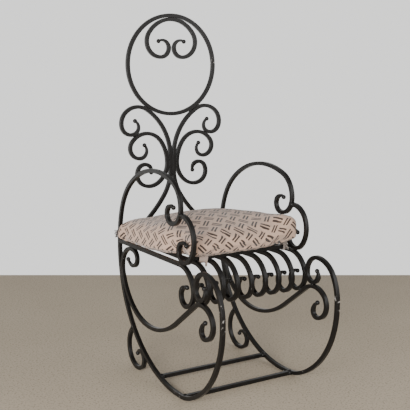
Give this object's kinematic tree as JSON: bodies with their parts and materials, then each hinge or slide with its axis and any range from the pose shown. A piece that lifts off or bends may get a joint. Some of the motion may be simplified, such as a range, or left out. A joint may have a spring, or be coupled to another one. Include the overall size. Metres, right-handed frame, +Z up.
{
  "type": "wrought iron armchair",
  "caption": "Scrolled wrought iron armchair: looped side frames with arms, ring-topped scroll back, curled seat slats, and a tied patterned seat cushion.",
  "frame": {"origin": "on the floor, under the middle of the chair's box", "axes": "+Z up, +Y to the rear, +X to the right as seen from the front"},
  "size_m": [0.4596, 0.7023, 1.2184],
  "materials": {
    "frame_paint": "satin",
    "cushion_fabric": "matte",
    "cushion_filling": "matte",
    "tie_fabric": "matte"
  },
  "bodies": {
    "root": {"arm_bracket_left": "frame_paint", "arm_bracket_right": "frame_paint", "back_bar_left": "frame_paint", "back_bar_right": "frame_paint", "back_ring": "frame_paint", "back_scroll_left": "frame_paint", "back_scroll_right": "frame_paint", "back_welds": "frame_paint", "base_welds": "frame_paint", "foot_scroll_left": "frame_paint", "foot_scroll_right": "frame_paint", "front_stretcher": "frame_paint", "rear_stretcher": "frame_paint", "ring_scroll": "frame_paint", "seat_front_bar": "frame_paint", "seat_rail_left": "frame_paint", "seat_rail_right": "frame_paint", "seat_rear_rail": "frame_paint", "seat_slat_1": "frame_paint", "seat_slat_2": "frame_paint", "seat_slat_3": "frame_paint", "seat_slat_4": "frame_paint", "seat_slat_5": "frame_paint", "seat_slat_6": "frame_paint", "seat_slat_7": "frame_paint", "seat_welds": "frame_paint", "side_loop_left": "frame_paint", "side_loop_right": "frame_paint", "side_welds_left": "frame_paint", "side_welds_right": "frame_paint", "swag_left": "frame_paint", "swag_right": "frame_paint", "cushion_cover": "cushion_fabric", "cushion_filling": "cushion_filling", "cushion_tie_front_left": "tie_fabric", "cushion_tie_front_right": "tie_fabric", "cushion_tie_rear_left": "tie_fabric", "cushion_tie_rear_right": "tie_fabric"}
  },
  "joints": []
}
